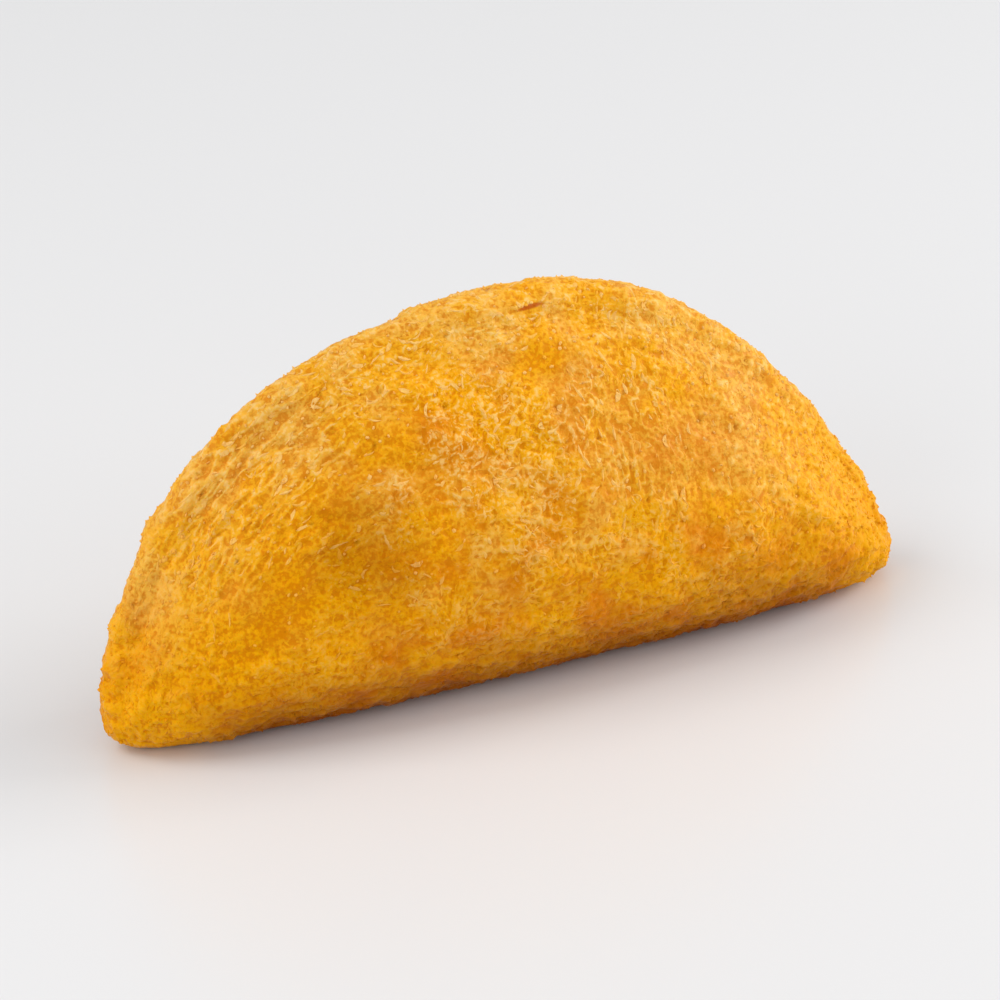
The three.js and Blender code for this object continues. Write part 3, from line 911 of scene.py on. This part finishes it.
class EMPANADA_OT_crust(bpy.types.Operator):
    """Builds the fried crust on the packed solid's form"""

    bl_idname = "empanada.crust"
    bl_label = "Fried crust"

    def execute(self, context):
        settings = context.scene.empanada_crust
        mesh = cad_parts[NODE].data.copy()
        loose = bmesh.new()
        loose.from_mesh(mesh)
        bmesh.ops.remove_doubles(loose, verts=loose.verts, dist=0.001 * MM)
        loose.to_mesh(mesh)
        loose.free()
        mesh.materials.clear()
        mesh.materials.append(crust_material(context.scene.empanada_colours))
        source = link("crust_source", mesh)
        rounded = source.modifiers.new("Rounded", "SUBSURF")
        rounded.levels = rounded.render_levels = 1
        fine = source.modifiers.new("Fine mesh", "REMESH")
        fine.mode = "VOXEL"
        fine.voxel_size = settings.voxel
        relaxed = source.modifiers.new("Relaxed", "SMOOTH")
        relaxed.factor = 0.5
        relaxed.iterations = 3
        add_geometry_nodes(source, crust_tree(), {
            "Lump size": settings.lump_size, "Lump height": settings.lump_height,
            "Grit size": settings.grit_size, "Grit height": settings.grit_height,
            "Ridge height": settings.ridge_height,
            "Blister spacing": settings.blister_size, "Blister height": settings.blister_height,
            "Pit spacing": settings.pit_size, "Pit depth": settings.pit_depth})
        crust = finished_piece("fried_crust", source)
        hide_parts(NODE)
        return {"FINISHED"}


def scattered_piece(context, name, tree, values):
    """Makes a piece of the small things that a tree scatters on the crust."""
    crust = context.scene.objects["fried_crust"]
    source = link(name + "_source", crust.data.copy())
    source.data.materials.clear()
    add_geometry_nodes(source, tree, values)
    finished_piece(name, source)


def crisps(context):
    """The crisps' material, made once."""
    return bpy.data.materials.get("dough_crisps_fried_dry") or crisp_material(context.scene.empanada_colours)


class EMPANADA_OT_wisps(bpy.types.Operator):
    """Scatters thin ridges of dough, half sunk in the crust"""

    bl_idname = "empanada.wisps"
    bl_label = "Dough wisps"

    def execute(self, context):
        settings = context.scene.empanada_scatter
        scattered_piece(context, "dough_wisps", wisps_tree(settings.seed, crisps(context)), {
            "Wisp length": settings.wisp_length, "Wisp spacing": settings.wisp_spacing})
        return {"FINISHED"}


class EMPANADA_OT_flakes(bpy.types.Operator):
    """Scatters thin curled flakes of dough on the crust"""

    bl_idname = "empanada.flakes"
    bl_label = "Curled flakes"

    def execute(self, context):
        settings = context.scene.empanada_scatter
        scattered_piece(context, "curled_flakes", flakes_tree(settings.seed, crisps(context)), {
            "Flake length": settings.flake_length, "Flake spacing": settings.flake_spacing})
        return {"FINISHED"}


class EMPANADA_OT_grains(bpy.types.Operator):
    """Scatters small fried grains on the crust"""

    bl_idname = "empanada.grains"
    bl_label = "Fried grains"

    def execute(self, context):
        settings = context.scene.empanada_scatter
        scattered_piece(context, "fried_grains", grains_tree(settings.seed, crisps(context)), {
            "Grain size": settings.grain_size, "Grain spacing": settings.grain_spacing})
        return {"FINISHED"}


def area_light(name, place, aim, size, energy):
    """A square white soft light at a place, turned to its aim."""
    data = bpy.data.lights.new(name, "AREA")
    data.size = size
    data.energy = energy
    lamp = bpy.data.objects.new(name, data)
    bpy.context.scene.collection.objects.link(lamp)
    lamp.location = place
    lamp.rotation_euler = (Vector(place) - Vector(aim)).to_track_quat("Z", "Y").to_euler()


class EMPANADA_OT_stage(bpy.types.Operator):
    """Makes the plain pale floor and the soft studio light"""

    bl_idname = "empanada.stage"
    bl_label = "Stage"

    def execute(self, context):
        settings = context.scene.empanada_stage
        mesh = bpy.data.meshes.new("floor")
        corners = [(x * FLOOR_HALF, y * FLOOR_HALF, 0) for x, y in ((-1, -1), (1, -1), (1, 1), (-1, 1))]
        mesh.from_pydata(corners, [], [(0, 1, 2, 3)])
        mesh.materials.append(floor_material(settings.floor_colour))
        link("floor", mesh)
        middle = (0.0, 0.0, HEIGHT / 2)
        for side, (place, width) in SOFTBOXES.items():
            area_light(f"{side}_softbox", place, middle, width, getattr(settings, f"{side}_energy"))
        world = bpy.data.worlds.new("soft_room")
        world.use_nodes = True
        world.node_tree.nodes["Background"].inputs["Color"].default_value = linear("#ffffff")
        world.node_tree.nodes["Background"].inputs["Strength"].default_value = settings.room_light
        context.scene.world = world
        context.scene.view_settings.view_transform = "Standard"
        return {"FINISHED"}


class EMPANADA_PT_panel(bpy.types.Panel):
    """Lists the empanada's sizes, colours and steps"""

    bl_idname = "EMPANADA_PT_panel"
    bl_label = "Empanada"
    bl_space_type = "VIEW_3D"
    bl_region_type = "UI"
    bl_category = "Empanada"

    def draw(self, context):
        for settings in SETTINGS:
            box = self.layout.box()
            box.label(text=SETTINGS[settings].__doc__)
            group = getattr(context.scene, settings)
            for name in SETTINGS[settings].__annotations__:
                box.prop(group, name)
        for step in STEPS:
            self.layout.operator(step.bl_idname)


SETTINGS = {
    "empanada_crust": CrustSettings,
    "empanada_scatter": ScatterSettings,
    "empanada_colours": ColourSettings,
    "empanada_stage": StageSettings,
}
STEPS = (
    EMPANADA_OT_camera, EMPANADA_OT_crust, EMPANADA_OT_wisps, EMPANADA_OT_flakes, EMPANADA_OT_grains,
    EMPANADA_OT_stage)


def register():
    for cls in (*SETTINGS.values(), *STEPS, EMPANADA_PT_panel):
        bpy.utils.register_class(cls)
    for name, cls in SETTINGS.items():
        setattr(bpy.types.Scene, name, PointerProperty(type=cls))


def unregister():
    for name in SETTINGS:
        delattr(bpy.types.Scene, name)
    for cls in reversed((*SETTINGS.values(), *STEPS, EMPANADA_PT_panel)):
        bpy.utils.unregister_class(cls)


def main():
    """Registers the add-on and makes every piece in order."""
    register()
    bpy.ops.empanada.camera()
    bpy.ops.empanada.crust()
    bpy.ops.empanada.wisps()
    bpy.ops.empanada.flakes()
    bpy.ops.empanada.grains()
    bpy.ops.empanada.stage()


if __name__ == "__main__":
    main()
